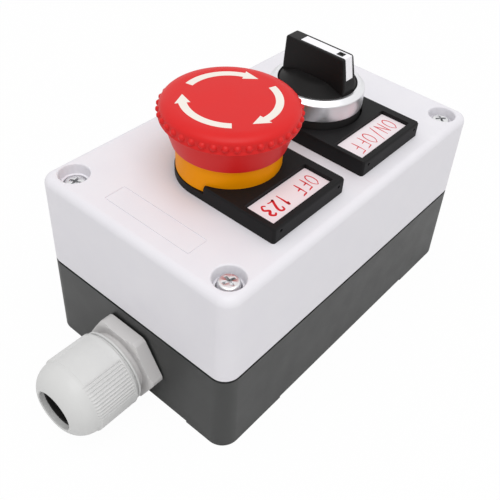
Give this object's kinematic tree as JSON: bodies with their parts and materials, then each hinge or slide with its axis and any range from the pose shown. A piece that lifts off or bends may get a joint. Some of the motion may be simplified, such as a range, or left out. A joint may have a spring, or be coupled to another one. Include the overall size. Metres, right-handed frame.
{
  "type": "pushbutton control station",
  "caption": "Wall box with a twist-release emergency stop and a three-position selector, legend holders and a cable gland.",
  "frame": {"origin": "centre of the enclosure's back face", "axes": "+Z out of the cover, +X along the box away from the cable gland, -Y towards the legend labels"},
  "size_m": [0.1486, 0.073, 0.0852],
  "materials": {
    "base_plastic": "fine-grained dark grey moulded plastic",
    "cover_plastic": "satin off-white moulded plastic",
    "black_rubber": "matt",
    "zinc_steel": "zinc plated",
    "spring_steel": "drawn wire",
    "gland_nylon": "light grey nylon",
    "gland_cap_nylon": "light grey nylon, slightly glossy",
    "holder_plastic": "black moulded plastic",
    "label_card": "white insert card",
    "head_red": "satin red moulded plastic",
    "arrow_white": "printed white",
    "collar_yellow": "satin yellow moulded plastic",
    "natural_nylon": "natural nylon",
    "inner_black": "black moulded plastic",
    "knob_black": "black moulded plastic",
    "insert_white": "white moulded plastic",
    "bezel_chrome": "satin chrome",
    "contact_red": "red moulded plastic",
    "contact_green": "green moulded plastic",
    "contact_brass": "plain brass"
  },
  "bodies": {
    "root": {"base_box": "base_plastic", "cover": "cover_plastic", "cover_gasket": "black_rubber", "cover_screws": "zinc_steel", "gland_body": "gland_nylon", "gland_gasket": "black_rubber", "gland_seal": "black_rubber", "gland_dome_nut": "gland_cap_nylon", "gland_locknut": "gland_nylon", "estop_legend_holder": "holder_plastic", "estop_legend_label": "label_card", "selector_legend_holder": "holder_plastic", "selector_legend_label": "label_card", "estop_return_spring": "spring_steel", "estop_collar": "collar_yellow", "estop_barrel": "inner_black", "estop_latch_clip": "spring_steel", "estop_seal": "black_rubber", "estop_ring_nut": "inner_black", "estop_fixing_collar": "inner_black", "selector_bezel": "bezel_chrome", "selector_barrel": "inner_black", "selector_seal": "black_rubber", "selector_ring_nut": "inner_black", "selector_fixing_collar": "inner_black", "estop_nc_housing": "contact_red", "estop_nc_spring": "spring_steel", "estop_nc_terminals": "contact_brass", "estop_nc_screws": "zinc_steel", "estop_no_housing": "contact_green", "estop_no_spring": "spring_steel", "estop_no_terminals": "contact_brass", "estop_no_screws": "zinc_steel", "selector_left_housing": "contact_green", "selector_left_spring": "spring_steel", "selector_left_terminals": "contact_brass", "selector_left_screws": "zinc_steel", "selector_right_housing": "contact_green", "selector_right_spring": "spring_steel", "selector_right_terminals": "contact_brass", "selector_right_screws": "zinc_steel"},
    "estop_slider": {"estop_pusher": "inner_black"},
    "estop_twist": {"estop_head": "head_red", "estop_arrows": "arrow_white", "estop_spindle": "natural_nylon"},
    "selector_rotor": {"selector_knob": "knob_black", "selector_insert": "insert_white", "selector_cam": "natural_nylon", "selector_detent_balls": "spring_steel", "selector_detent_springs": "spring_steel"},
    "estop_nc_mover": {"estop_nc_plunger": "natural_nylon", "estop_nc_bridge": "contact_brass"},
    "estop_no_mover": {"estop_no_plunger": "natural_nylon", "estop_no_bridge": "contact_brass"},
    "selector_left_mover": {"selector_left_plunger": "natural_nylon", "selector_left_bridge": "contact_brass"},
    "selector_right_mover": {"selector_right_plunger": "natural_nylon", "selector_right_bridge": "contact_brass"}
  },
  "joints": [
    {"name": "estop_press", "type": "slide", "parent": "root", "child": "estop_slider", "axis": [0, 0, -1], "range_m": [0, 0.0055], "stiffness_N_per_m": 800, "springref_m": -0.006, "deforming": ["estop_return_spring"]},
    {"name": "estop_twist_release", "type": "hinge", "parent": "estop_slider", "child": "estop_twist", "pos_m": [-0.0203, 0, 0.0805], "axis": [0, 0, 1], "range_deg": [-40, 0], "stiffness_Nm_per_rad": 0.05, "springref_deg": 11.46},
    {"name": "selector_turn", "type": "hinge", "parent": "root", "child": "selector_rotor", "pos_m": [0.0197, 0, 0.0805], "axis": [0, 0, 1], "range_deg": [-45, 45]},
    {"name": "estop_nc_travel", "type": "slide", "parent": "root", "child": "estop_nc_mover", "axis": [0, 0, -1], "range_m": [0, 0.0055], "stiffness_N_per_m": 0.3, "springref_m": -0.0202, "deforming": ["estop_nc_spring"]},
    {"name": "estop_no_travel", "type": "slide", "parent": "root", "child": "estop_no_mover", "axis": [0, 0, -1], "range_m": [0, 0.0055], "stiffness_N_per_m": 0.3, "springref_m": -0.0202, "deforming": ["estop_no_spring"]},
    {"name": "selector_left_travel", "type": "slide", "parent": "root", "child": "selector_left_mover", "axis": [0, 0, -1], "range_m": [-0.00201, 0.00201], "stiffness_N_per_m": 0.3, "springref_m": -0.0202, "deforming": ["selector_left_spring"]},
    {"name": "selector_right_travel", "type": "slide", "parent": "root", "child": "selector_right_mover", "axis": [0, 0, -1], "range_m": [-0.002, 0.002], "stiffness_N_per_m": 0.3, "springref_m": -0.0202, "deforming": ["selector_right_spring"]}
  ],
  "couplings": [
    {"joint": "estop_nc_travel", "follows": "estop_press", "ratio": 1},
    {"joint": "estop_no_travel", "follows": "estop_press", "ratio": 1},
    {"joint": "selector_turn", "follows": "selector_right_travel", "rad_per_m": 392.69},
    {"joint": "selector_left_travel", "follows": "selector_right_travel", "ratio": -1}
  ]
}
